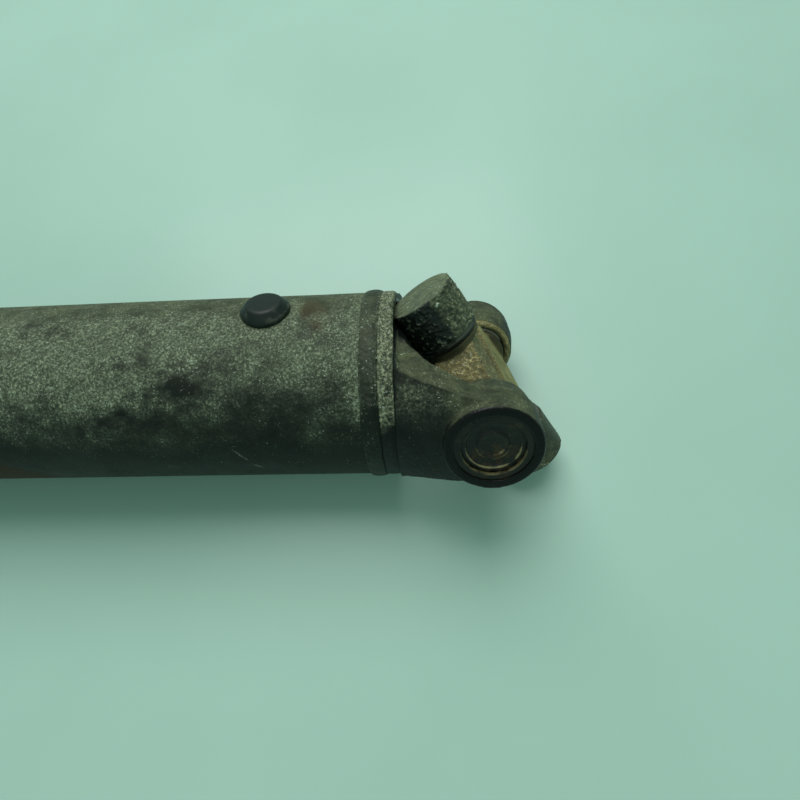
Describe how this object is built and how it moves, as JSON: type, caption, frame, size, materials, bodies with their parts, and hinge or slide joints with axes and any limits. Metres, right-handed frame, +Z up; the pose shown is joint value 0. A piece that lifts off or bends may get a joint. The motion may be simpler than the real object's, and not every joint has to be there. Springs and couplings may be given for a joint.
{
  "type": "telescopic propeller shaft",
  "caption": "Telescopic propeller shaft with a splined slip joint, a needle-bearing universal joint at each end, a flange yoke and a bare cross for a strapped yoke.",
  "frame": {"origin": "centre of the bolt circle on the flange yoke's mating face", "axes": "+X along the shaft from the flange to the bare cross, +Z up from the surface the shaft lies on"},
  "size_m": [0.5864, 0.0988, 0.0988],
  "materials": {
    "forged_steel": "worn black finish over forging scale, dusty, oily stains",
    "tube_steel": "old black paint, dusty, scuffed, rust at the damage",
    "weld_metal": "rippled weld bead, dirty",
    "bearing_steel": "hardened ground steel under grease and dust",
    "ground_steel": "hardened and ground, bright",
    "spring_steel": "phosphated spring steel, light rust",
    "plug_rubber": "smooth black rubber",
    "seal_rubber": "black nitrile rubber",
    "washer_plastic": "glass filled nylon",
    "brass": "dull brass-coloured plating",
    "cap_steel": "pressed sheet steel, dark finish"
  },
  "bodies": {
    "shaft": {"tube": "tube_steel", "rear_weld_yoke": "forged_steel", "rear_weld_bead": "weld_metal", "spline_stub": "forged_steel", "front_weld_bead": "weld_metal", "tube_plug": "plug_rubber", "balance_weights": "tube_steel", "rear_bearing_cup_near": "bearing_steel", "rear_bearing_cup_far": "bearing_steel", "rear_yoke_needles": "ground_steel", "rear_yoke_thrust_washers": "washer_plastic", "rear_yoke_seals": "seal_rubber", "rear_snap_rings": "spring_steel"},
    "rear_cross": {"rear_cross": "forged_steel", "rear_cross_grease_nipple": "brass"},
    "rear_cup_upper": {"rear_free_cup_upper": "bearing_steel", "rear_upper_needles": "ground_steel", "rear_upper_thrust_washer": "washer_plastic", "rear_upper_seal": "seal_rubber"},
    "rear_cup_lower": {"rear_free_cup_lower": "bearing_steel", "rear_lower_needles": "ground_steel", "rear_lower_thrust_washer": "washer_plastic", "rear_lower_seal": "seal_rubber"},
    "slip_yoke": {"slip_yoke": "forged_steel", "slip_welch_plug": "cap_steel", "slip_dust_cap": "cap_steel", "slip_seal": "seal_rubber", "slip_grease_nipple": "brass", "front_slip_side_cups": "bearing_steel", "front_slip_side_needles": "ground_steel", "front_slip_side_thrust_washers": "washer_plastic", "front_slip_side_seals": "seal_rubber", "front_slip_side_snap_rings": "spring_steel"},
    "front_cross": {"front_cross": "forged_steel", "front_cross_grease_nipple": "brass"},
    "flange_yoke": {"flange_yoke": "forged_steel", "front_flange_side_cups": "bearing_steel", "front_flange_side_needles": "ground_steel", "front_flange_side_thrust_washers": "washer_plastic", "front_flange_side_seals": "seal_rubber", "front_flange_side_snap_rings": "spring_steel"}
  },
  "joints": [
    {"name": "rear_cross_tilt", "type": "hinge", "parent": "shaft", "child": "rear_cross", "pos_m": [0.548, 0, 0], "axis": [0, 0.8192, -0.5736], "range_deg": [0, 66]},
    {"name": "rear_cup_upper_spin", "type": "hinge", "parent": "rear_cross", "child": "rear_cup_upper", "pos_m": [0.52839, 0.01732, 0.02473], "axis": [-0.5446, 0.481, 0.687], "continuous": true},
    {"name": "rear_cup_lower_spin", "type": "hinge", "parent": "rear_cross", "child": "rear_cup_lower", "pos_m": [0.56761, -0.01732, -0.02473], "axis": [0.5446, -0.481, -0.687], "continuous": true},
    {"name": "slip_travel", "type": "slide", "parent": "shaft", "child": "slip_yoke", "axis": [-1, 0, 0], "range_m": [-0.015, 0.04]},
    {"name": "front_cross_tilt", "type": "hinge", "parent": "slip_yoke", "child": "front_cross", "pos_m": [0.054, 0, 0], "axis": [0, 0.8192, -0.5736], "range_deg": [-20, 20]},
    {"name": "flange_yoke_tilt", "type": "hinge", "parent": "front_cross", "child": "flange_yoke", "pos_m": [0.054, 0, 0], "axis": [0, 0.5736, 0.8192], "range_deg": [-20, 20]}
  ]
}
